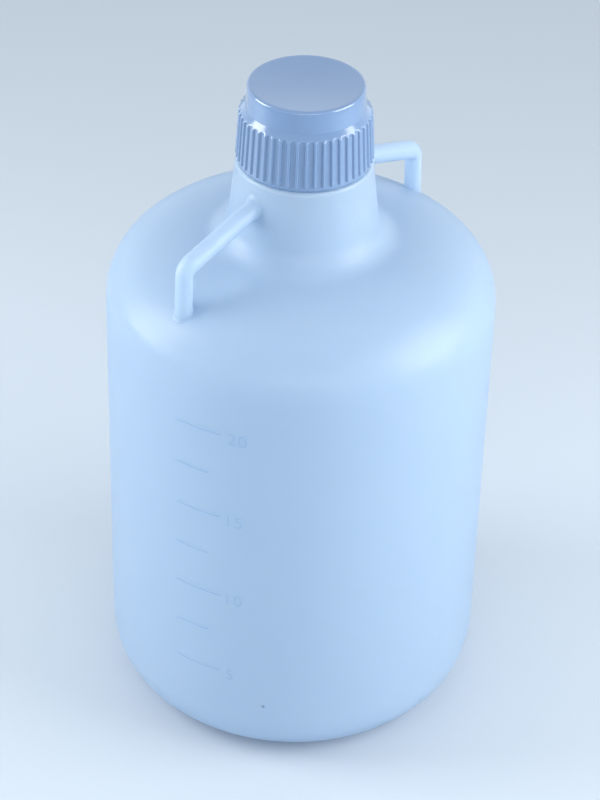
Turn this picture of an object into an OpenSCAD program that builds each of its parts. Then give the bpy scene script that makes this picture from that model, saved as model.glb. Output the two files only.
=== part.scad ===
// Laboratory carboy for 20 litres: a blow-moulded bottle with two shoulder handles,
// a ribbed screw cap and the sealing ring that the cap presses on the mouth.
// Frame: +Z up, origin at the centre of the base, handles along X.

/* [Bottle] */
// Outer diameter of the bottle
body_d = 295; // [260:1:330]
// Wall thickness of the bottle
wall = 3; // [2:0.1:4]
// Height at which the straight side ends and the shoulder starts
side_h = 347; // [330:1:400]
// Width of the rounded edge at the base, measured inwards
heel_w = 39; // [25:1:45]
// Height of the rounded edge at the base
heel_h = 48; // [30:1:60]
// Height of the shoulder's dome above the straight side
dome_h = 58; // [50:1:70]
// Width of the shoulder's dome, measured inwards from the side
dome_w = 103; // [95:1:108]
// Width of the flat ring that the bottle stands on, between the rounded edge and the hollow
ring_w = 11.5; // [6:0.5:30]
// Height of the hollow under the base
hollow_h = 9; // [4:0.5:14]

/* [Neck] */
// Outer radius of the neck below the cap
neck_r = 50.8; // [49:0.1:53]
// Height of the neck above the dome, up to the collar under the cap
neck_h = 63.5; // [58:0.5:75]
// Draft of the neck, in degrees, as it widens down from the collar
neck_draft = 6.2; // [3:0.2:7.2]
// Radius of the rounding in which the neck's foot meets the dome
foot_round = 19; // [14:0.5:24]
// Radius of the bore at the mouth
mouth_r = 37; // [33:0.5:38]
// Outer radius of the mouth's finish
finish_r = 40.8; // [40:0.1:41.2]
// Height of the mouth's finish above the collar
finish_h = 55.7; // [52:0.5:60]

/* [Handles] */
// Diameter of the handle's tube
grip_d = 13.8; // [12:0.2:15]
// Distance from the bottle's side in to the middle of the handle's upright
grip_inset = 26.5; // [22:0.5:32]
// Drop from the collar to the middle of the handle's bar at the neck
grip_drop = 19.8; // [18:0.2:24]
// Slope of the handle's bar, in degrees down towards the side
grip_slope = 17.5; // [12:0.5:20]
// Radius of the handle's bend, at the middle of its tube
grip_bend = 9; // [8.5:0.5:14]

/* [Graduations] */
// Height of the 20 litre mark
mark_top = 316.6; // [300:0.5:325]
// Length of the marks at 5, 10, 15 and 20 litres
mark_long = 40; // [30:1:50]
// Length of the marks half way between them
mark_short = 30; // [20:1:38]
// Height of a mark's raised line on the wall, seen from the front
mark_w = 1.6; // [1:0.1:2.4]
// How far the marks stand out from the wall
mark_rise = 0.6; // [0.4:0.1:1]
// Angle at which the marks start, counted from +X towards +Y
mark_turn = 186.2; // [184:0.2:300]

/* [Cap] */
// Radius of the cap's top drum
drum_r = 44; // [43.8:0.1:46]
// Draft of the drum, as the loss of radius up to its top
drum_draft = 1; // [0:0.1:1.4]
// Thickness of the cap's top plate
plate_t = 2.2; // [2:0.1:4]
// Rounding of the drum's top edge
drum_edge = 1.8; // [0.8:0.1:2.2]
// Width of the flat rim round the dish in the cap's top
dish_rim = 0.6; // [0.4:0.1:3]
// Depth of the dish in the cap's top
dish_depth = 2; // [0.5:0.1:2.4]
// Height of the drum from the sloped ring to its top
drum_h = 17; // [12:0.5:19]
// Height of the sloped ring between the drum and the ribs
slope_h = 5; // [3:0.5:6]
// Radius of the ribs at their upper end
rib_top_r = 48.8; // [48.4:0.1:50]
// Radius of the ribs at their lower end
rib_low_r = 51; // [50.4:0.1:53]
// Number of ribs round the cap
rib_n = 48; // [36:4:56]
// Width of a rib, as a share of its pitch
rib_share = 0.42; // [0.35:0.01:0.55]
// Depth of the grooves between the ribs
groove_depth = 1.6; // [0.8:0.1:1.7]
// How far the grooves run up into the sloped ring
groove_run = 1.5; // [0.5:0.1:2]
// Height of the plain band below the ribs
band_h = 3.6; // [2:0.1:6]
// Chamfer at the skirt's lower edge
skirt_chamfer = 1.2; // [0.4:0.1:1.6]
// Room for the threads between the mouth's finish and the skirt
thread_room = 3.4; // [3:0.1:3.6]
// Wall of the skirt's flared lower end, behind the grooves
flare_wall = 2; // [1.6:0.1:2.6]
// Height of the skirt's flared lower end
flare_h = 12; // [8:0.5:12.5]
// Gap between the skirt's lower edge and the collar when the cap is closed
skirt_gap = 1; // [0.8:0.1:3]

/* [Sealing ring] */
// Thickness of the sealing ring
seal_t = 2.4; // [1.8:0.1:3.5]
// Inner radius of the sealing ring
seal_in_r = 35.5; // [31:0.5:36.5]
// Gap on each side of the ring, to the mouth and to the cap
seat_gap = 0.2; // [0.1:0.05:0.3]
// Radial gap round the mouth and the ring inside the drum
side_gap = 0.5; // [0.3:0.1:0.8]

/* [Hidden] */
$fn = 120;

body_r = body_d / 2;
dome_z = side_h + dome_h;
dome_in_r = body_r - dome_w;
// Radius of the hollow under the base, inside the standing ring
hollow_r = body_r - heel_w - ring_w;
collar_z = dome_z + neck_h;
lip_z = collar_z + finish_h;
foot_r = neck_r + (neck_h - foot_round) * tan(neck_draft) + foot_round;
// Exponents of the rounded heel and of the dome: 2 is an ellipse, more is squarer
heel_k = 2.14;
dome_k = 2.42;
heel_steps = 14;
dome_steps = 22;
foot_steps = 12;
// A cubic curve is nearly a quarter circle with its middle corners this share of the radius in
round_share = 0.5523;
hollow_steps = 12;
collar_h = 2;
collar_bevel = 1;
lip_bevel = 0.8;
// The bore narrows from the neck to the mouth over this height, below the collar
throat_h = 4.5;
throat_drop = 2;

seal_z = lip_z + seat_gap;
plate_z = seal_z + seal_t + seat_gap;
cap_top_z = plate_z + plate_t + dish_depth;
skirt_z = collar_z + skirt_gap;
ring_top_z = cap_top_z - drum_h;
ring_low_z = ring_top_z - slope_h;
drum_in_r = finish_r + side_gap;
seal_out_r = drum_in_r - side_gap / 2;
skirt_in_r = finish_r + thread_room;
flare_r = rib_low_r - groove_depth - flare_wall;
// Cuts run this far past the faces that they open
cut = 0.5;
// A slimmer core runs this far on from a handle's straight tube into its bend, to join them
core_lap = 1;
core_slimmer = 2;

// A quarter of a superellipse, from (0, h) at a = 0 to (w, 0) at a = 90
function quarter(w, h, k, a) = [w * pow(sin(a), 2 / k), h * pow(cos(a), 2 / k)];

// Point on the dome at angle a, with its surface moved inwards by t
function dome_point(a, t) =
    let (q = quarter(dome_w - t, dome_h - t, dome_k, a))
    [dome_in_r + q[0], side_h + q[1]];

// Angle at which the dome, moved inwards by t, reaches radius r
function dome_angle(r, t) = asin(pow((r - dome_in_r) / (dome_w - t), dome_k / 2));

// Point on the heel at angle a, with its surface moved inwards by t
function heel_point(a, t) =
    let (q = quarter(heel_w - t, heel_h - t, heel_k, a))
    [body_r - heel_w + q[0], heel_h - q[1]];

// Height of the hollow under the base at radius r
function hollow(r) = hollow_h * (1 - pow(r / hollow_r, 4));

function cubic(p, u) =
    pow(1 - u, 3) * p[0] + 3 * pow(1 - u, 2) * u * p[1]
    + 3 * (1 - u) * u * u * p[2] + u * u * u * p[3];

// Radius of the neck's straight part at height z
function neck_at(z) = neck_r + (collar_z - z) * tan(neck_draft);

// The neck's rounded foot, moved inwards by t, from the dome up to the straight part
function foot_points(t) =
    let (top_z = dome_z + foot_round)
    let (pull = round_share * (foot_round + t))
    let (a = dome_angle(foot_r, t))
    let (low = dome_point(a, t))
    let (near = dome_point(a + 1, t))
    let (along = (low - near) / norm(low - near))
    let (top = [neck_at(top_z) - t, top_z])
    let (ctrl = [low, low + pull * along, top + pull * [tan(neck_draft), -1], top])
    [for (i = [1:foot_steps]) cubic(ctrl, i / foot_steps)];

// Base, side and shoulder of the bottle, moved inwards by t, up to height z on the neck
function side_points(t, z) = concat(
    [for (i = [1:hollow_steps])
        let (r = hollow_r * i / hollow_steps) [r, hollow(r) + t]],
    [for (i = [0:heel_steps]) heel_point(90 * i / heel_steps, t)],
    [for (i = [0:dome_steps])
        let (low = dome_angle(foot_r, t))
        dome_point(90 - (90 - low) * i / dome_steps, t)],
    foot_points(t),
    [[neck_at(z) - t, z]]
);

// Solid of the bottle's outside, with no handles
module bottle_outside() {
    top = [
        [neck_r, collar_z - collar_bevel],
        [neck_r - collar_bevel, collar_z],
        [finish_r, collar_z],
        [finish_r, lip_z - lip_bevel],
        [finish_r - lip_bevel, lip_z],
        [0, lip_z]
    ];
    rotate_extrude() polygon(concat([[0, hollow(0)]], side_points(0, collar_z - collar_h), top));
}

// The space inside the bottle, open through the mouth
module bottle_inside() {
    top = [
        [mouth_r, collar_z - throat_drop],
        [mouth_r, lip_z + cut],
        [0, lip_z + cut]
    ];
    low = collar_z - throat_drop - throat_h;
    rotate_extrude() polygon(concat([[0, hollow(0) + wall]], side_points(wall, low), top));
}

// Section of a handle's tube, with flats narrow enough to look round
module grip_section(d) {
    sides = 24;
    polygon([for (i = [0:sides - 1])
        let (a = 360 * (i + 0.5) / sides) [d / 2 * cos(a), d / 2 * sin(a)]]);
}

// A straight tube of a handle, with the core that joins it to the bend
module grip_straight(h, d) {
    linear_extrude(height = h) grip_section(d);
    linear_extrude(height = h + core_lap) grip_section(d - core_slimmer);
}

// Both handle tubes of diameter d: a sloping bar, a bend and an upright down into the dome
module grips(d) {
    upright_r = body_r - grip_inset;
    corner_z = collar_z - grip_drop - (upright_r - neck_r) * tan(grip_slope);
    turn = 90 - grip_slope;
    cut_back = grip_bend * tan(turn / 2);
    start_r = neck_r - grip_d;
    start_z = corner_z + (upright_r - start_r) * tan(grip_slope);
    bar_l = (upright_r - start_r) / cos(grip_slope) - cut_back;
    upright_h = corner_z - cut_back - side_h;
    for (side = [0, 180]) rotate([0, 0, side]) {
        translate([start_r, 0, start_z])
            rotate([0, 90 + grip_slope, 0])
            grip_straight(bar_l, d);
        translate([upright_r - grip_bend, 0, corner_z - cut_back])
            rotate([90, 0, 0])
            rotate_extrude(angle = turn) translate([grip_bend, 0]) grip_section(d);
        translate([upright_r, 0, side_h]) grip_straight(upright_h, d);
    }
}

// Raised lines on the wall, one for each 2.5 litres from the top mark down
module graduations() {
    in_r = body_r - wall;
    litre_h = 1e6 / (PI * in_r * in_r);
    step_litres = 2.5;
    for (i = [0:6]) {
        z = mark_top - i * step_litres * litre_h;
        length = i % 2 == 0 ? mark_long : mark_short;
        line = [
            [body_r - wall / 2, -mark_w / 2],
            [body_r, -mark_w / 2],
            [body_r + mark_rise, -mark_w / 4],
            [body_r + mark_rise, mark_w / 4],
            [body_r, mark_w / 2],
            [body_r - wall / 2, mark_w / 2]
        ];
        translate([0, 0, z])
            rotate([0, 0, mark_turn])
            rotate_extrude(angle = length / body_r * 180 / PI) polygon(line);
    }
}

// The bottle is one blown piece, so its handles are hollow and open into it
module carboy_body() {
    color([0.72, 0.83, 0.94]) difference() {
        union() {
            bottle_outside();
            grips(grip_d);
            graduations();
        }
        bottle_inside();
        grips(grip_d - 2 * wall);
    }
}

// One groove between two ribs: an upright slot with a round upper end
module groove(w, h) {
    end_steps = 8;
    outline = concat(
        [[w / 2, 0]],
        [for (i = [0:end_steps])
            let (a = 180 * i / end_steps) [w / 2 * cos(a), h - w / 2 + w / 2 * sin(a)]],
        [[-w / 2, 0]]
    );
    rotate([90, 0, 90]) linear_extrude(height = 2 * groove_depth + cut) polygon(outline);
}

module cap_shell() {
    edge_steps = 4;
    dish_steps = 6;
    top_r = drum_r - drum_draft;
    dish_r = top_r - drum_edge - dish_rim;
    edge = [for (i = [0:edge_steps])
        let (a = 90 * i / edge_steps)
        [top_r - drum_edge + drum_edge * sin(a), cap_top_z - drum_edge + drum_edge * cos(a)]];
    outer = [
        [drum_r, ring_top_z],
        [rib_top_r, ring_low_z],
        [rib_low_r, skirt_z + band_h + groove_depth / 2],
        [rib_low_r - groove_depth, skirt_z + band_h],
        [rib_low_r - groove_depth, skirt_z + skirt_chamfer],
        [rib_low_r - groove_depth - skirt_chamfer, skirt_z]
    ];
    inner = [
        [flare_r, skirt_z],
        [skirt_in_r, skirt_z + flare_h],
        [skirt_in_r, ring_low_z],
        [drum_in_r, ring_low_z + skirt_in_r - drum_in_r],
        [drum_in_r, plate_z],
        [0, plate_z]
    ];
    dish = [for (i = [0:dish_steps])
        let (x = i / dish_steps) [dish_r * x, cap_top_z - dish_depth * (1 - x * x)]];
    rotate_extrude() polygon(concat(dish, edge, outer, inner));
}

// Screw cap: a drum over the mouth, a sloped ring and a ribbed skirt
module cap() {
    pitch = 2 * PI * rib_low_r / rib_n;
    band_z = skirt_z + band_h - cut;
    taper = atan((rib_low_r - rib_top_r) / (ring_low_z - skirt_z - band_h));
    groove_l = (ring_low_z + groove_run - band_z) / cos(taper);
    color([0.86, 0.89, 0.94]) difference() {
        cap_shell();
        for (i = [0:rib_n - 1])
            rotate([0, 0, 360 * i / rib_n])
            translate([rib_low_r - groove_depth, 0, band_z])
            rotate([0, -taper, 0])
            groove(pitch * (1 - rib_share), groove_l);
    }
}

// Flat sealing ring between the mouth and the cap's top plate
module gasket() {
    color([0.93, 0.93, 0.9])
        translate([0, 0, seal_z])
        rotate_extrude() translate([seal_in_r, 0]) square([seal_out_r - seal_in_r, seal_t]);
}

carboy_body();
cap();
gasket();
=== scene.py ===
import math

import bmesh
import bpy
import numpy as np
from mathutils import Matrix, Vector


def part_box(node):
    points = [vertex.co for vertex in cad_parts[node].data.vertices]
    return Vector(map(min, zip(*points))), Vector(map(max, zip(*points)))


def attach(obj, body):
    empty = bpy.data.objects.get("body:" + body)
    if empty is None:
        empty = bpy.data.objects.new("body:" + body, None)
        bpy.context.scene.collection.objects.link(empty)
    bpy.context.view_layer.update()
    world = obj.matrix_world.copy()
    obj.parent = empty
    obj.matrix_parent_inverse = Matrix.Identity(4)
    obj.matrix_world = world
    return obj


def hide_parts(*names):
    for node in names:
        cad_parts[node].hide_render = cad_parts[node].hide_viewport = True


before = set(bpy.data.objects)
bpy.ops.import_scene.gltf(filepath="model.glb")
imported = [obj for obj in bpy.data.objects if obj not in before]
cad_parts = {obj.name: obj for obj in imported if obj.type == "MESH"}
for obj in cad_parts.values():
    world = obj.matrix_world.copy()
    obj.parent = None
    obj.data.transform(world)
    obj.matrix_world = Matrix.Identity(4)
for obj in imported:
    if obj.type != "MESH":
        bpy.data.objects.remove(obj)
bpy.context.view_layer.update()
scene = bpy.context.scene
mm = 0.001

# Camera, at the photograph's viewing angle.
print("stage: camera")
cameraPlan = {
    "location": (-1.1814, -1.1213, 1.4465),
    "turn": -46.55,      # degrees about Z; 0 looks along +Y
    "pitch": 36.32,      # degrees down
    "roll": 1.60,
    "lens": 116.4,
    "sensor": 36.0,      # along the longer side of the picture
}


def addCamera(plan):
    # The camera looks down its own -Z: it is rolled about that line, tipped down, then turned about Z.
    data = bpy.data.cameras.new("camera")
    data.lens = plan["lens"]
    data.sensor_width = plan["sensor"]
    data.clip_end = 50
    camera = bpy.data.objects.new("camera", data)
    scene.collection.objects.link(camera)
    turn = Matrix.Rotation(math.radians(plan["turn"]), 4, "Z")
    tip = Matrix.Rotation(math.radians(90 - plan["pitch"]), 4, "X")
    roll = Matrix.Rotation(math.radians(plan["roll"]), 4, "Z")
    camera.matrix_world = Matrix.Translation(plan["location"]) @ turn @ tip @ roll
    scene.camera = camera


addCamera(cameraPlan)

# Floor, lamps and world.
print("stage: studio")
studio = {
    "floorSide": 14.0,
    "floorColour": (0.54, 0.60, 0.66, 1),
    "worldColour": (0.87, 0.935, 1.0, 1),
    "worldStrength": (1.4, 0.7),   # level with the horizon and overhead
    "worldFade": 0.7,                # sine of the height at which it is that of overhead
    # side: metres to the camera's right, back: metres away behind the object, high: metres up
    "lamps": {
        "leftSoftbox": {"side": -1.15, "back": 0.0, "high": 0.75, "size": (0.6, 1.1), "power": 12},
        "rightSoftbox": {"side": 1.1, "back": -0.3, "high": 0.75, "size": (0.9, 1.1), "power": 14},
        "frontSoftbox": {"side": 0.2, "back": -2.2, "high": 0.9, "size": (2.0, 1.2), "power": 9},
    },
    "aim": (0.0, 0.0, 0.3),
}


def skyWorld(plan):
    # One colour, whose strength runs from the horizon's to the one overhead with the height looked at.
    world = bpy.data.worlds.new("studio")
    world.use_nodes = True
    nodes, links = world.node_tree.nodes, world.node_tree.links
    sky = nodes["Background"]
    sky.inputs["Color"].default_value = plan["worldColour"]
    place = nodes.new("ShaderNodeTexCoord")
    split = nodes.new("ShaderNodeSeparateXYZ")
    fade = nodes.new("ShaderNodeMapRange")
    fade.inputs["From Max"].default_value = plan["worldFade"]
    fade.inputs["To Min"].default_value, fade.inputs["To Max"].default_value = plan["worldStrength"]
    links.new(place.outputs["Generated"], split.inputs["Vector"])
    links.new(split.outputs["Z"], fade.inputs["Value"])
    links.new(fade.outputs["Result"], sky.inputs["Strength"])
    return world


def addStudio(plan):
    # Each lamp stands in the camera's own directions on the floor, and its -Z points at the aim.
    mesh = bpy.data.meshes.new("floor")
    half = plan["floorSide"] / 2
    corners = [(-half, -half, 0), (half, -half, 0), (half, half, 0), (-half, half, 0)]
    mesh.from_pydata(corners, [], [(0, 1, 2, 3)])
    floor = bpy.data.objects.new("floor", mesh)
    scene.collection.objects.link(floor)
    material = bpy.data.materials.new("floorPaper")
    material.use_nodes = True
    shader = material.node_tree.nodes["Principled BSDF"]
    shader.inputs["Base Color"].default_value = plan["floorColour"]
    shader.inputs["Roughness"].default_value = 0.6
    mesh.materials.append(material)
    turn = math.radians(cameraPlan["turn"])
    right = Vector((math.cos(turn), math.sin(turn), 0))
    away = Vector((-math.sin(turn), math.cos(turn), 0))
    aim = Vector(plan["aim"])
    for name, lamp in plan["lamps"].items():
        data = bpy.data.lights.new(name, "AREA")
        data.shape = "RECTANGLE"
        data.size, data.size_y = lamp["size"]
        data.energy = lamp["power"]
        light = bpy.data.objects.new(name, data)
        scene.collection.objects.link(light)
        place = right * lamp["side"] + away * lamp["back"] + Vector((0, 0, lamp["high"]))
        facing = (aim - place).to_track_quat("-Z", "Y")
        light.matrix_world = Matrix.Translation(place) @ facing.to_matrix().to_4x4()
    scene.world = skyWorld(plan)
    scene.view_settings.view_transform = "Standard"


addStudio(studio)

# Sizes of the bottle, in millimetres; the overall ones are measured on the frame.
print("stage: bottle")
bodyLow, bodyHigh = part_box("carboy_body")
capLow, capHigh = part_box("cap")
bottle = {
    "radius": round((bodyHigh.x - bodyLow.x) / 2 / mm, 1),
    "lipZ": round(bodyHigh.z / mm, 1),
    "wall": 3.0,
    "sideZ": 347.0,
    "heel": (39.0, 48.0, 2.14),      # width, height and exponent of the rounded base edge
    "dome": (103.0, 58.0, 2.42),     # the same for the shoulder
    "hollow": (97.0, 9.0),           # radius and height of the hollow under the base
    "neckR": 50.8,                   # at the collar
    "neckDraft": 6.2,                # degrees
    "footRound": 19.0,               # radius in which the neck meets the dome
    "collarDrop": 55.7,              # from the lip down to the collar
    "collarBevel": 1.0,
    "finishR": 40.8,
    "mouthR": 37.0,
    "lipRound": 1.0,
    "throat": (2.0, 4.5),            # depth under the collar and height of the narrowing bore
    "columns": 240,
    "innerColumns": 120,
    "rowStep": 3.0,
    "threadStep": 0.5,               # between rows under a thread
    "quarterPull": 0.5523,           # share of the radius at which a cubic follows a quarter circle
}
neckThread = {
    "pitch": 6.4,
    "turns": 2.0,
    "start": 19.0,           # height of its first root over the collar
    "rise": 2.6,
    "width": 3.2,            # at the root
    "crest": 0.5,            # width at the crest as a share of the root's
    "fade": 36.0,            # degrees over which each end runs out
}


def smooth(low, high, x):
    # 0 below low, 1 above high, and 3t^2 - 2t^3 between them.
    t = np.clip((x - low) / (high - low), 0, 1)
    return t * t * (3 - 2 * t)


def evenly(points, step):
    # The same line with its points at equal lengths along it, about one step apart.
    points = np.asarray(points, float)
    length = np.concatenate([[0], np.cumsum(np.hypot(*np.diff(points, axis=0).T))])
    count = max(2, int(round(length[-1] / step)) + 1)
    at = np.linspace(0, length[-1], count)
    return np.stack([np.interp(at, length, points[:, k]) for k in (0, 1)], 1)


def quarter(width, height, power, a):
    # A quarter of a superellipse: (w sin^(2/k) a, h cos^(2/k) a), a in degrees.
    a = np.radians(a)
    return np.stack([width * np.sin(a) ** (2 / power), height * np.abs(np.cos(a)) ** (2 / power)], -1)


def domeLine(inset, a):
    # The shoulder's superellipse round (radius - width, sideZ), moved inwards by the inset.
    width, height, power = bottle["dome"]
    q = quarter(width - inset, height - inset, power, a)
    return q + [bottle["radius"] - width, bottle["sideZ"]]


def heelLine(inset, a):
    # The base edge: the same curve turned over, from the floor up to the side.
    width, height, power = bottle["heel"]
    q = quarter(width - inset, height - inset, power, a)
    return np.stack([bottle["radius"] - width + q[:, 0], height - q[:, 1]], 1)


def footLine(inset):
    # A cubic curve, near a quarter circle, from the dome up to the neck's drafted line.
    width, height, power = bottle["dome"]
    draft = math.tan(math.radians(bottle["neckDraft"]))
    topZ = bottle["sideZ"] + height + bottle["footRound"]
    footR = neckAt(topZ) + bottle["footRound"]
    share = (footR - bottle["radius"] + width) / (width - inset)
    a = math.degrees(math.asin(share ** (power / 2)))
    low, near = domeLine(inset, np.array([a, a + 1.0]))
    along = (low - near) / np.hypot(*(low - near))
    top = np.array([neckAt(topZ) - inset, topZ])
    pull = bottle["quarterPull"] * (bottle["footRound"] + inset)
    u = np.linspace(0, 1, 60)[:, None]
    corners = (low, low + pull * along, top + pull * np.array([draft, -1]), top)
    weights = ((1 - u) ** 3, 3 * (1 - u) ** 2 * u, 3 * (1 - u) * u ** 2, u ** 3)
    return sum(w * c for w, c in zip(weights, corners)), a


def neckAt(z):
    # Radius of the neck's straight part, which widens down from the collar by its draft.
    collar = bottle["lipZ"] - bottle["collarDrop"]
    return bottle["neckR"] + (collar - z) * math.tan(math.radians(bottle["neckDraft"]))


def skinLine(inset, topZ, step):
    # Base, heel, side, dome, foot and neck, from beside the axis up to topZ.
    hollowR, hollowH = bottle["hollow"]
    r = np.linspace(0.03, 1, 30) * hollowR
    base = np.stack([r, hollowH * (1 - (r / hollowR) ** 4) + inset], 1)
    foot, last = footLine(inset)
    neck = np.concatenate([foot, [[neckAt(topZ) - inset, topZ]]])
    heel = evenly(heelLine(inset, np.linspace(0, 90, 200)), step)
    dome = evenly(domeLine(inset, np.linspace(90, last, 300)), step)
    side = np.stack([np.full(11, heel[-1, 0]), np.linspace(heel[-1, 1], dome[0, 1], 11)], 1)
    base = evenly(base, 2 * step)
    return np.concatenate([base, heel, side[1:-1], dome, evenly(neck, step / 2)[1:]])


def threadRise(thread, rootZ, angle, z):
    # Height of a helix: a trapezoid across its nearest turn, faded in and out at its two ends.
    turn = np.round((z - rootZ) / thread["pitch"] - angle / 360)
    along = angle + 360 * turn
    off = np.abs(z - rootZ - thread["pitch"] * along / 360)
    half = thread["width"] / 2
    flank = np.clip((half - off) / (half * (1 - thread["crest"])), 0, 1)
    ends = np.clip(np.minimum(along, 360 * thread["turns"] - along) / thread["fade"], 0, 1)
    return thread["rise"] * flank * ends


def turned(line, columns, rise=None):
    # Every point (r, z) of the line carried round the axis; rise adds to r at each angle and height.
    angle = np.arange(columns) * 360 / columns
    r, z = np.broadcast_arrays(line[:, :1], np.zeros((1, columns)))[0], np.repeat(line[:, 1:], columns, 1)
    if rise is not None:
        r = r + rise(np.broadcast_to(angle, z.shape), z)
    a = np.radians(angle)
    return np.stack([r * np.cos(a), r * np.sin(a), z], -1)


def ringFaces(countA, startA, startB, countB):
    # Faces between two rings: squares, or fans where the second ring has more points than the first.
    j = np.arange(min(countA, countB))
    if countB >= countA:
        k = countB // countA
        fan = [(startB + (k * (j + 1) - m) % countB) for m in range(k + 1)]
        return np.stack([startA + j, startA + (j + 1) % countA] + fan, 1).tolist()
    k = countA // countB
    fan = [(startA + (k * j + m) % countA) for m in range(k + 1)]
    return np.stack(fan + [startB + (j + 1) % countB, startB + j], 1).tolist()


def closedTurn(name, blocks, firstZ, lastZ):
    # Blocks of rings joined to one closed surface, with a point on the axis at each end.
    rings = [ring for block in blocks for ring in block]
    starts = np.concatenate([[0], np.cumsum([len(ring) for ring in rings])])
    faces = []
    for i in range(len(rings) - 1):
        faces += ringFaces(len(rings[i]), starts[i], starts[i + 1], len(rings[i + 1]))
    first, last = int(starts[-1]), int(starts[-1]) + 1
    j = np.arange(len(rings[0]))
    faces += np.stack([np.full(len(j), first), (j + 1) % len(j), j], 1).tolist()
    j = np.arange(len(rings[-1]))
    n = starts[-2]
    faces += np.stack([np.full(len(j), last), n + j, n + (j + 1) % len(j)], 1).tolist()
    points = np.concatenate(rings + [[[0, 0, firstZ], [0, 0, lastZ]]])
    return meshObject(name, points, faces)


def meshObject(name, points, faces):
    # Points in millimetres become a smooth mesh in metres.
    mesh = bpy.data.meshes.new(name)
    mesh.from_pydata((np.asarray(points) * mm).tolist(), [], faces)
    mesh.update()
    obj = bpy.data.objects.new(name, mesh)
    scene.collection.objects.link(obj)
    return obj


def bottleShell():
    # The outer skin up to the lip, over it, and the inner skin down again, as one closed surface.
    lip, wall = bottle["lipZ"], bottle["wall"]
    collar = lip - bottle["collarDrop"]
    bevel, finish, mouth = bottle["collarBevel"], bottle["finishR"], bottle["mouthR"]
    rounding = np.radians(np.linspace(0, 90, 5))
    small = bottle["lipRound"]
    outerTop = [[bottle["neckR"], collar - bevel], [bottle["neckR"] - bevel, collar], [finish, collar]]
    first = collar + neckThread["start"]
    threadLow = first - neckThread["width"]
    threadHigh = first + neckThread["pitch"] * neckThread["turns"] + neckThread["width"]
    stem = [[finish, z] for z in np.arange(threadLow, threadHigh, bottle["threadStep"])]
    across, along = small * np.cos(rounding), small * np.sin(rounding)
    lipOut = np.stack([finish - small + across, lip - small + along], 1)
    lipIn = np.stack([mouth + small - along, lip - small + across], 1)
    outer = np.concatenate([skinLine(0, collar - 2, bottle["rowStep"]), outerTop, stem, lipOut])
    drop, high = bottle["throat"]
    throatTop = [[mouth, collar], [mouth, collar - drop]]
    innerSkin = skinLine(wall, collar - drop - high, 2 * bottle["rowStep"])
    inner = np.concatenate([lipIn, throatTop, innerSkin[::-1]])
    isStem = (outer[:, 1] > collar + 1) & (outer[:, 1] < lip - 2)
    rise = lambda angle, z: np.where(isStem[:, None], threadRise(neckThread, first, angle, z), 0)
    blocks = [turned(outer, bottle["columns"], rise), turned(inner, bottle["innerColumns"])]
    hollowH = bottle["hollow"][1]
    return closedTurn("carboyBody", blocks, hollowH, hollowH + wall)


# Handles, the raised scale and its numerals.
handle = {
    "neckZ": 439.5,          # height of the bar's middle at neckAt from the axis
    "neckAt": 80.0,
    "slope": 17.47,          # degrees down, outwards
    "uprightR": 121.0,       # radius of the upright's middle at uprightAt
    "uprightAt": 432.0,
    "lean": 2.0,             # degrees outwards, downwards
    "bend": 8.5,
    "barHalf": 7.3,          # half width in the handle's plane
    "uprightHalf": 6.15,
    "acrossHalf": 6.9,
    "fillet": (3.0, 1.4),    # at the neck and at the dome
    "seat": 1.5,             # how deep in the wall the handle ends
    "around": 40,
    "rows": 44,              # along each straight tube
    "crowd": 1.7,            # how much closer together the rows are at the skin
}
scale = {
    "topZ": 316.6,
    "start": 186.2,          # degrees from +X
    "long": 40.0,
    "short": 30.0,
    "width": 1.6,
    "rise": 0.6,
    "litres": 2.5,           # from one line to the next
    "numberHigh": 10.5,
    "numberStart": 203.65,
    "numberRise": 0.28,
    "numberGap": 1.12,
    "numberDrop": 2.0,       # of its middle under the line's
}


def wallLine():
    # The outer skin's radius and height above the side, for seating what is moulded on.
    collar = bottle["lipZ"] - bottle["collarDrop"]
    line = skinLine(0, collar - 2, 1.0)
    return line[line[:, 1] > bottle["sideZ"] - 30]


def depthOver(points, line):
    # Signed distance to the skin: the nearest point of its line, negative inside.
    r, z = np.hypot(points[..., 0], points[..., 1]), points[..., 2]
    gap = np.hypot(r[..., None] - line[:, 0], z[..., None] - line[:, 1]).min(-1)
    return gap * np.sign(r - np.interp(z, line[:, 1], line[:, 0]))


def handlePath(plan):
    # Where the bar's and the upright's lines meet, their directions, and the turn between them.
    slope, lean = math.radians(plan["slope"]), math.radians(plan["lean"])
    bar = np.array([math.cos(slope), -math.sin(slope)])
    upright = np.array([math.sin(lean), -math.cos(lean)])
    a = np.array([plan["neckAt"], plan["neckZ"]])
    b = np.array([plan["uprightR"], plan["uprightAt"]])
    s = np.linalg.solve(np.stack([bar, -upright], 1), b - a)[0]
    turn = math.acos(float(bar @ upright))
    return a + s * bar, bar, upright, turn


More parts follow.
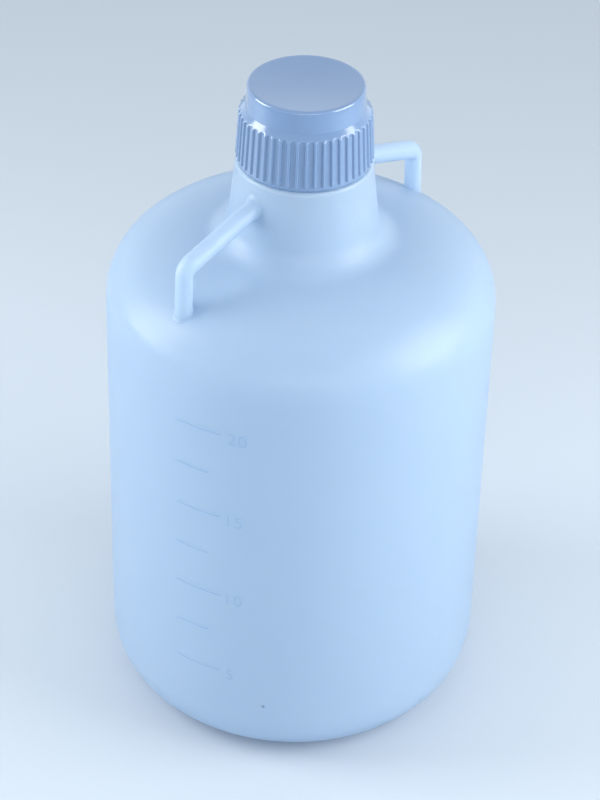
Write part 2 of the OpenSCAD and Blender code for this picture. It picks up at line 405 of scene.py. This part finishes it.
def handleTube(name, plan, side, thinner, depth):
    # An oval section on a bar, a bend and an upright. Each of its rails runs on until it is that deep
    # in the wall, and near the skin it swells by a quarter circle, f - sqrt(f^2 - (f - gap)^2).
    corner, bar, upright, turn = handlePath(plan)
    line = wallLine()
    back = plan["bend"] * math.tan(turn / 2)
    phase = np.radians(np.arange(plan["around"]) * 360 / plan["around"])
    barNormal = np.array([-bar[1], bar[0]])
    bendStart = corner - back * bar
    centre = bendStart - plan["bend"] * barNormal

    def section(place, normal, half):
        # Points round one place of the path: normal is the section's own direction in the plane.
        inPlane = (half - thinner) * np.cos(phase)
        across = (plan["acrossHalf"] - thinner) * np.sin(phase)
        flat = place[..., None, :] + inPlane[:, None] * normal[..., None, :]
        plane = np.cos(phase)[:, None]
        sideways = np.sin(phase)[:, None] + 0 * normal[..., None, 0]
        out = np.stack([plane * normal[..., None, 0], sideways, plane * normal[..., None, 1]], -1)[..., 0, :]
        point = np.stack([flat[..., 0], np.broadcast_to(across, flat[..., 0].shape), flat[..., 1]], -1)
        return point, np.broadcast_to(out, point.shape)

    def railEnd(ring, direction):
        # The length at which each rail reaches the wanted depth, by halving.
        low, high = np.zeros(len(ring)), np.full(len(ring), 90.0)
        step = np.array([direction[0], 0, direction[1]])
        for _ in range(30):
            middle = (low + high) / 2
            deep = depthOver(ring + middle[:, None] * step, line) < -depth
            low, high = np.where(deep, low, middle), np.where(deep, middle, high)
        return high[:, None] * step

    spread = 1 - np.linspace(1, 0, plan["rows"]) ** plan["crowd"]
    barRing, barOut = section(bendStart, barNormal, plan["barHalf"])
    toNeck = railEnd(barRing, -bar)
    barRows = barRing + (1 - spread)[:, None, None] * toNeck
    steps = np.linspace(0, 1, 9)[1:-1]
    angles = math.atan2(barNormal[1], barNormal[0]) - steps * turn
    normals = np.stack([np.cos(angles), np.sin(angles)], 1)
    halves = plan["barHalf"] + (plan["uprightHalf"] - plan["barHalf"]) * steps
    bendRows = [section(centre + plan["bend"] * n, n, h) for n, h in zip(normals, halves)]
    endNormal = np.array([-upright[1], upright[0]])
    footRing, footOut = section(corner + back * upright, endNormal, plan["uprightHalf"])
    toDome = railEnd(footRing, upright)
    footRows = footRing + (1 - spread[::-1])[:, None, None] * toDome
    rows = np.concatenate([barRows, [row[0] for row in bendRows], footRows])
    outs = np.concatenate([np.broadcast_to(barOut, barRows.shape), [row[1] for row in bendRows],
                           np.broadcast_to(footOut, footRows.shape)])
    if thinner == 0:
        fillet = np.linspace(*plan["fillet"], len(rows))[:, None]
        gap = np.clip(depthOver(rows, line), 0, fillet)
        rows = rows + (fillet - np.sqrt(fillet ** 2 - (fillet - gap) ** 2))[..., None] * outs
    if side < 0:
        rows = rows * [-1, -1, 1]
    return tubeObject(name, rows)


def tubeObject(name, rows):
    # Rings of equal size joined in order, with a fan over each end.
    count, around = rows.shape[:2]
    i, j = np.meshgrid(np.arange(count - 1), np.arange(around), indexing="ij")
    k = (j + 1) % around
    sides = np.stack([i * around + j, i * around + k, (i + 1) * around + k, (i + 1) * around + j], -1)
    faces = sides.reshape(-1, 4).tolist()
    first, last = count * around, count * around + 1
    j = np.arange(around)
    faces += np.stack([np.full(around, first), (j + 1) % around, j], 1).tolist()
    end = (count - 1) * around
    faces += np.stack([np.full(around, last), end + j, end + (j + 1) % around], 1).tolist()
    points = np.concatenate([rows.reshape(-1, 3), [rows[0].mean(0), rows[-1].mean(0)]])
    obj = meshObject(name, points, faces)
    outwards(obj)
    return obj


def outwards(obj):
    # Merges doubles and turns every face of a closed surface outwards.
    work = bmesh.new()
    work.from_mesh(obj.data)
    bmesh.ops.remove_doubles(work, verts=work.verts, dist=1e-6)
    bmesh.ops.recalc_face_normals(work, faces=work.faces)
    work.to_mesh(obj.data)
    work.free()


def scaleLine(index, z, length):
    # A rounded bar round part of the wall: its rise follows a half sine and fades at both ends.
    radius, wall = bottle["radius"], bottle["wall"]
    degrees = math.degrees(length / radius)
    steps = 33
    u = np.linspace(0, 1, steps)
    angle = np.radians(scale["start"] + degrees * u)
    ends = np.sqrt(np.clip(1 - (2 * np.abs(u - 0.5)) ** 24, 0.02, 1))
    v = np.radians(np.linspace(0, 180, 9))
    front = np.stack([scale["rise"] * np.sin(v), -scale["width"] / 2 * np.cos(v)], 1)
    behind = np.array([[-wall / 2, scale["width"] / 2], [-wall / 2, -scale["width"] / 2]])
    root = np.broadcast_to(radius + behind[:, 0], (steps, 2))
    r = np.concatenate([radius + front[:, 0] * ends[:, None], root], 1)
    h = np.concatenate([front[:, 1], behind[:, 1]])
    x, y = r * np.cos(angle)[:, None], r * np.sin(angle)[:, None]
    rows = np.stack([x, y, np.broadcast_to(z + h, r.shape)], -1)
    return tubeObject("scaleLine%d" % index, rows)


def scaleNumber(text, z):
    # Plain figures, cut from flat letters and laid on the wall: x becomes an angle, depth a radius.
    curve = bpy.data.curves.new("number" + text, "FONT")
    curve.body = text
    curve.space_character = scale["numberGap"]
    curve.extrude = 1.0
    curve.resolution_u = 4
    holder = bpy.data.objects.new("number" + text, curve)
    scene.collection.objects.link(holder)
    bpy.context.view_layer.update()
    mesh = bpy.data.meshes.new_from_object(holder.evaluated_get(bpy.context.evaluated_depsgraph_get()))
    bpy.data.objects.remove(holder)
    flat = np.zeros(len(mesh.vertices) * 3)
    mesh.vertices.foreach_get("co", flat)
    flat = flat.reshape(-1, 3)
    low, high = flat.min(0), flat.max(0)
    size = scale["numberHigh"] / (high[1] - low[1])
    front = flat[:, 2] > 0
    r = bottle["radius"] + np.where(front, scale["numberRise"], -bottle["wall"] / 2)
    a = math.radians(scale["numberStart"]) + (flat[:, 0] - low[0]) * size / bottle["radius"]
    h = z - scale["numberDrop"] + (flat[:, 1] - (low[1] + high[1]) / 2) * size
    points = np.stack([r * np.cos(a), r * np.sin(a), h], 1) * mm
    mesh.vertices.foreach_set("co", points.ravel())
    mesh.update()
    obj = bpy.data.objects.new("number" + text, mesh)
    scene.collection.objects.link(obj)
    outwards(obj)
    return obj


def fuse(target, others, operation):
    # One exact solid from the target and the others, which are then removed.
    group = bpy.data.collections.new("others")
    for other in others:
        group.objects.link(other)
    modifier = target.modifiers.new("fuse", "BOOLEAN")
    modifier.operation = operation
    modifier.operand_type = "COLLECTION"
    modifier.collection = group
    modifier.solver = "MANIFOLD"
    bpy.context.view_layer.update()
    mesh = bpy.data.meshes.new_from_object(target.evaluated_get(bpy.context.evaluated_depsgraph_get()))
    target.modifiers.clear()
    target.data = mesh
    for other in others:
        bpy.data.objects.remove(other)
    bpy.data.collections.remove(group)


def buildBottle():
    # The shell with its handles and marks fused on, then the handles' hollows cut through the wall.
    body = bottleShell()
    litreHigh = 1e6 / (math.pi * (bottle["radius"] - bottle["wall"]) ** 2)
    step = scale["litres"] * litreHigh
    sides = (("A", 1), ("B", -1))
    added = [handleTube("handle" + name, handle, side, 0, handle["seat"]) for name, side in sides]
    for i in range(7):
        added.append(scaleLine(i, scale["topZ"] - i * step, scale["short"] if i % 2 else scale["long"]))
    for i, text in enumerate(("20", "15", "10", "5")):
        added.append(scaleNumber(text, scale["topZ"] - 2 * i * step))
    fuse(body, added, "UNION")
    deep = bottle["wall"] + 2
    bores = [handleTube("bore" + name, handle, side, bottle["wall"], deep) for name, side in sides]
    fuse(body, bores, "DIFFERENCE")
    body.data.shade_smooth()
    body.data.set_sharp_from_angle(angle=math.radians(35))
    return body


def tell(obj):
    # One line with the size of the finished mesh.
    triangles = sum(len(p.vertices) - 2 for p in obj.data.polygons)
    print(obj.name + ":", len(obj.data.vertices), "points,", triangles, "triangles")


body = buildBottle()
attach(body, "carboy")
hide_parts("carboy_body")
tell(body)

# The screw cap.
print("stage: cap")
cap = {
    "topZ": round(capHigh.z / mm, 1),
    "lowZ": round(capLow.z / mm, 1),
    "drumR": 44.0,
    "draft": 1.0,
    "edge": 1.8,
    "rim": 0.6,
    "dish": 2.0,
    "plate": 2.2,
    "drumH": 17.0,
    "slopeH": 5.0,
    "ribTopR": 48.8,
    "ribLowR": 51.0,
    "ribs": 48,
    "ribShare": 0.42,
    "groove": 1.6,
    "crown": 0.85,           # how much lower a rib's flanks are than its middle
    "run": 1.5,
    "band": 3.6,
    "chamfer": 1.2,
    "flareWall": 2.0,
    "flareH": 12.0,
    "skirtInR": 44.2,
    "drumInR": 41.3,
    "innerCorner": 0.4,      # between the bore and the plate's underside
    "innerColumns": 168,
}
capThread = {
    "pitch": 6.4,
    "turns": 1.5,
    "rise": 2.6,
    "width": 2.4,
    "crest": 0.5,
    "fade": 36.0,
    "gap": 0.5,              # between the flanks that bear when the cap is closed
}


def ribAngles(plan):
    # The same columns for each rib: close together at its flanks and wide apart in the groove.
    half = plan["ribShare"] / 2
    across = [-0.46, -half - 0.055, -half - 0.02, -half + 0.015, -half * 0.7, -half * 0.35, 0.0]
    across = np.array(across + [-x for x in across[:-1][::-1]] + [0.5])
    columns = np.arange(plan["ribs"])[:, None] + across
    return columns.ravel() * 360 / plan["ribs"], np.tile(across, plan["ribs"])


def ribHeight(plan, across, z, ringZ):
    # 1 on a rib and 0 in a groove. Both ends are half circles: the grooves' at the top, the ribs' below.
    pitch = 2 * math.pi * plan["ribLowR"] / plan["ribs"]
    ribHalf, grooveHalf = pitch * plan["ribShare"] / 2, pitch * (1 - plan["ribShare"]) / 2
    fromRib = np.abs(across) * pitch
    fromGroove = pitch / 2 - fromRib
    topZ = ringZ + plan["run"]
    above = np.maximum(z - (topZ - grooveHalf), 0)
    inGroove = grooveHalf - np.hypot(fromGroove, above)
    lowZ = plan["lowZ"] + plan["band"]
    below = np.maximum(lowZ + ribHalf - z, 0)
    inRib = ribHalf - np.hypot(fromRib, below)
    edge = 0.28
    keep = smooth(-edge, edge, -inGroove)
    ends = smooth(-edge, edge, inRib)
    crown = 1 - plan["crown"] / plan["groove"] * np.clip(fromRib / ribHalf, 0, 1) ** 2.5
    fade = smooth(topZ - 1.5, topZ + 0.5, z)
    return np.where(z < lowZ + ribHalf, ends, keep) * (crown + (1 - crown) * fade)


def capOutside(plan):
    # Radius over angle and height: the groove floor, plus the ribs' height times their mask.
    ringTop = plan["topZ"] - plan["drumH"]
    ringLow = ringTop - plan["slopeH"]
    topR = plan["drumR"] - plan["draft"]
    angle, across = ribAngles(plan)
    edgeTurn = np.radians(np.linspace(0, 90, 7))
    edge = np.stack([topR - plan["edge"] + plan["edge"] * np.sin(edgeTurn),
                     plan["topZ"] - plan["edge"] + plan["edge"] * np.cos(edgeTurn)], 1)
    drumTop = plan["topZ"] - plan["edge"]
    drum = np.stack([np.linspace(topR, plan["drumR"], 6), np.linspace(drumTop, ringTop, 6)], 1)
    slope = np.stack([np.linspace(plan["drumR"], plan["ribTopR"], 14), np.linspace(ringTop, ringLow, 14)], 1)
    lowZ = plan["lowZ"] + plan["band"]
    heights = np.concatenate([np.linspace(ringLow, ringLow - 2.4, 8), np.linspace(ringLow - 6, lowZ + 6, 6),
                              np.linspace(lowZ + 2.4, lowZ - 0.4, 9)])
    share = (ringLow - heights) / (ringLow - lowZ)
    ribs = np.stack([plan["ribTopR"] + (plan["ribLowR"] - plan["ribTopR"]) * share, heights], 1)
    foot = plan["ribLowR"] - plan["groove"]
    band = np.array([[foot, lowZ - 1.2], [foot, plan["lowZ"] + plan["chamfer"]],
                     [foot - plan["chamfer"] * 0.45, plan["lowZ"] + plan["chamfer"] * 0.3],
                     [foot - plan["chamfer"], plan["lowZ"]]])
    line = np.concatenate([edge, drum[1:], slope[1:], ribs[1:], band])
    z = line[:, 1:]
    across = across[None, :]
    taper = (plan["ribLowR"] - plan["ribTopR"]) * (ringLow - z) / (ringLow - lowZ)
    floor = np.minimum(plan["ribTopR"] - plan["groove"] + taper, foot)
    room = np.maximum(line[:, :1] - floor, 0)
    r = np.where(room > 0, floor + room * ribHeight(plan, across, z, ringLow), line[:, :1])
    a = np.radians(angle)
    return np.stack([r * np.cos(a), r * np.sin(a), np.broadcast_to(z, r.shape)], -1)


def capInside(plan):
    # Up the flared skirt, past the thread, in to the drum's bore and along the plate's underside.
    ringTop = plan["topZ"] - plan["drumH"]
    ringLow = ringTop - plan["slopeH"]
    flareR = plan["ribLowR"] - plan["groove"] - plan["flareWall"]
    plateZ = plan["topZ"] - plan["dish"] - plan["plate"]
    flareTop = plan["lowZ"] + plan["flareH"]
    flare = np.stack([np.linspace(flareR, plan["skirtInR"], 4), np.linspace(plan["lowZ"], flareTop, 4)], 1)
    step = bottle["threadStep"]
    heights = np.arange(flareTop + step, ringLow, step)
    straight = np.stack([np.full(len(heights), plan["skirtInR"]), heights], 1)
    bore, corner = plan["drumInR"], plan["innerCorner"]
    top = np.array([[plan["skirtInR"], ringLow], [bore, ringLow + plan["skirtInR"] - bore],
                    [bore, plateZ - corner], [bore - corner, plateZ], [30, plateZ], [10, plateZ]])
    return np.concatenate([flare, straight, top])


def buildCap(plan):
    # Dish, ribbed outside and threaded inside joined to one closed surface.
    topR = plan["drumR"] - plan["draft"]
    dishR = topR - plan["edge"] - plan["rim"]
    share = np.linspace(0.08, 1, 16)
    dish = np.stack([dishR * share, plan["topZ"] - plan["dish"] * (1 - share ** 2)], 1)[::-1]
    collar = bottle["lipZ"] - bottle["collarDrop"]
    widths = neckThread["width"] + capThread["width"]
    slack = (capThread["pitch"] - widths * (1 + capThread["crest"]) / 2) / 2
    rootZ = collar + neckThread["start"] - capThread["pitch"] / 2 + slack - capThread["gap"]
    inside = capInside(plan)
    isWall = np.abs(inside[:, :1] - plan["skirtInR"]) < 0.01
    rise = lambda angle, z: np.where(isWall, -threadRise(capThread, rootZ, angle, z), 0)
    outside = capOutside(plan)
    inner = turned(inside, plan["innerColumns"], rise)
    top = turned(dish, plan["innerColumns"])
    plateZ = plan["topZ"] - plan["dish"] - plan["plate"]
    blocks = [top[::-1], outside, inner]
    obj = closedTurn("screwCap", blocks, plan["topZ"] - plan["dish"], plateZ)
    outwards(obj)
    obj.data.shade_smooth()
    obj.data.set_sharp_from_angle(angle=math.radians(40))
    return obj


screwCap = buildCap(cap)
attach(screwCap, "closure")
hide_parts("cap")
tell(screwCap)

# Finishes.
print("stage: finishes")


def mouldedSurface():
    # Shared by all three plastics: a slow tint, fine grain and slight waves, from Object coordinates.
    group = bpy.data.node_groups.new("mouldedSurface", "ShaderNodeTree")
    for name, value in (("grainScale", 900.0), ("waveScale", 18.0), ("waveShare", 0.7)):
        socket = group.interface.new_socket(name=name, in_out="INPUT", socket_type="NodeSocketFloat")
        socket.default_value = value
    for name in ("tint", "height"):
        group.interface.new_socket(name=name, in_out="OUTPUT", socket_type="NodeSocketFloat")
    nodes, links = group.nodes, group.links
    start = nodes.new("NodeGroupInput")
    end = nodes.new("NodeGroupOutput")
    place = nodes.new("ShaderNodeTexCoord")
    grain = nodes.new("ShaderNodeTexNoise")
    grain.inputs["Detail"].default_value = 3
    wave = nodes.new("ShaderNodeTexNoise")
    wave.inputs["Detail"].default_value = 1.5
    blend = nodes.new("ShaderNodeMix")
    blend.data_type = "FLOAT"
    links.new(place.outputs["Object"], grain.inputs["Vector"])
    links.new(place.outputs["Object"], wave.inputs["Vector"])
    links.new(start.outputs["grainScale"], grain.inputs["Scale"])
    links.new(start.outputs["waveScale"], wave.inputs["Scale"])
    links.new(start.outputs["waveShare"], blend.inputs["Factor"])
    links.new(grain.outputs["Fac"], blend.inputs["A"])
    links.new(wave.outputs["Fac"], blend.inputs["B"])
    links.new(wave.outputs["Fac"], end.inputs["tint"])
    links.new(blend.outputs["Result"], end.inputs["height"])
    return group


surfaceGroup = mouldedSurface()
finishes = {
    "milkyPlastic": {
        "light": (0.525, 0.675, 0.85, 1),
        "deep": (0.505, 0.655, 0.83, 1),
        "rough": (0.28, 0.34),
        "bump": 0.00006,
        "scales": (700.0, 14.0, 0.75),
        "scatter": 0.012,
        "through": 0.42,
        "throughColour": (0.76, 0.85, 0.95, 1),
        "markShadeColour": (0.34, 0.50, 0.70, 1),     # painted shade on what is raised on the wall, darker as if the thicker plastic let less light through
        "markShadeRise": (0.05, 0.35),                # over which the painted shade comes in
        # A dark spot of painted shade where a small raised pip stands on the wall; the pip itself is not
        # modelled.
        "pipShadeColour": (0.10, 0.17, 0.26, 1),
        "pipShade": (215.45, 59.0),                 # degrees from +X and height
        "pipShadeSize": (1.8, 0.8),                 # from its edge in to its dark middle
    },
    "capPlastic": {
        "light": (0.16, 0.27, 0.46, 1),
        "deep": (0.15, 0.25, 0.43, 1),
        "coat": (1.0, 0.12, 1.6),                # weight, roughness and refractive index
        "rough": (0.13, 0.18),
        "bump": 0.00003,
        "scales": (900.0, 30.0, 0.5),
    },
    "sealRubber": {
        "light": (0.80, 0.81, 0.80, 1),
        "deep": (0.72, 0.73, 0.72, 1),
        "rough": (0.5, 0.6),
        "bump": 0.00003,
        "scales": (1200.0, 60.0, 0.3),
    },
}


def paintedMarkShade(tree, colour, plan):
    # Past the wall's radius the colour turns to the raised marks' painted shade, and near one point to the
    # painted shade of a small raised pip.
    nodes, links = tree.nodes, tree.links
    place = nodes.new("ShaderNodeTexCoord")
    level = nodes.new("ShaderNodeVectorMath")
    level.operation = "MULTIPLY"
    level.inputs[1].default_value = (1, 1, 0)
    radius = nodes.new("ShaderNodeVectorMath")
    radius.operation = "LENGTH"
    # Distance to the pip, for its painted shade.
    pipShade = nodes.new("ShaderNodeVectorMath")
    pipShade.operation = "DISTANCE"
    angle, height = math.radians(plan["pipShade"][0]), plan["pipShade"][1]
    wall = bottle["radius"]
    onWall = Vector((wall * math.cos(angle), wall * math.sin(angle), height))
    pipShade.inputs[1].default_value = onWall * mm
    links.new(place.outputs["Object"], level.inputs[0])
    links.new(level.outputs["Vector"], radius.inputs[0])
    links.new(place.outputs["Object"], pipShade.inputs[0])
    marks = [wall + rise for rise in plan["markShadeRise"]]
    masks = ((radius, marks, "markShadeColour"), (pipShade, plan["pipShadeSize"], "pipShadeColour"))
    for source, limits, target in masks:
        mask = nodes.new("ShaderNodeMapRange")
        for socket, limit in zip(("From Min", "From Max"), limits):
            mask.inputs[socket].default_value = limit * mm
        mix = nodes.new("ShaderNodeMix")
        mix.data_type = "RGBA"
        mix.inputs["B"].default_value = plan[target]
        links.new(source.outputs["Value"], mask.inputs["Value"])
        links.new(mask.outputs["Result"], mix.inputs["Factor"])
        links.new(colour, mix.inputs["A"])
        colour = mix.outputs["Result"]
    return colour


def makeFinish(name, plan):
    # Two close tints and roughnesses mixed by the group's mask, with its height as a bump.
    material = bpy.data.materials.new(name)
    material.use_nodes = True
    nodes, links = material.node_tree.nodes, material.node_tree.links
    shader = nodes["Principled BSDF"]
    output = nodes["Material Output"]
    surface = nodes.new("ShaderNodeGroup")
    surface.node_tree = surfaceGroup
    for socket, value in zip(("grainScale", "waveScale", "waveShare"), plan["scales"]):
        surface.inputs[socket].default_value = value
    tint = nodes.new("ShaderNodeMix")
    tint.data_type = "RGBA"
    tint.inputs["A"].default_value = plan["deep"]
    tint.inputs["B"].default_value = plan["light"]
    rough = nodes.new("ShaderNodeMapRange")
    rough.inputs["To Min"].default_value, rough.inputs["To Max"].default_value = plan["rough"]
    bump = nodes.new("ShaderNodeBump")
    bump.inputs["Distance"].default_value = plan["bump"]
    links.new(surface.outputs["tint"], tint.inputs["Factor"])
    links.new(surface.outputs["tint"], rough.inputs["Value"])
    links.new(surface.outputs["height"], bump.inputs["Height"])
    colour = tint.outputs["Result"]
    # Painted shade on the raised marks and on the small raised pip.
    if "markShadeColour" in plan:
        colour = paintedMarkShade(material.node_tree, colour, plan)
    links.new(colour, shader.inputs["Base Color"])
    links.new(rough.outputs["Result"], shader.inputs["Roughness"])
    links.new(bump.outputs["Normal"], shader.inputs["Normal"])
    shader.inputs["IOR"].default_value = 1.5
    if "coat" in plan:
        for socket, value in zip(("Coat Weight", "Coat Roughness", "Coat IOR"), plan["coat"]):
            shader.inputs[socket].default_value = value
    if "scatter" in plan:
        shader.inputs["Subsurface Weight"].default_value = 1.0
        shader.inputs["Subsurface Radius"].default_value = (1.0, 1.0, 1.0)
        shader.inputs["Subsurface Scale"].default_value = plan["scatter"]
    if "through" in plan:
        glow = nodes.new("ShaderNodeBsdfTranslucent")
        glow.inputs["Color"].default_value = plan["throughColour"]
        links.new(bump.outputs["Normal"], glow.inputs["Normal"])
        both = nodes.new("ShaderNodeMixShader")
        both.inputs["Fac"].default_value = plan["through"]
        links.new(shader.outputs["BSDF"], both.inputs[1])
        links.new(glow.outputs["BSDF"], both.inputs[2])
        links.new(both.outputs["Shader"], output.inputs["Surface"])
    return material


def dress(obj, material):
    # The whole piece in one finish.
    obj.data.materials.clear()
    obj.data.materials.append(material)


dress(body, makeFinish("milkyPlastic", finishes["milkyPlastic"]))
dress(screwCap, makeFinish("capPlastic", finishes["capPlastic"]))
dress(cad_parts["gasket"], makeFinish("sealRubber", finishes["sealRubber"]))

print("stage: finish")
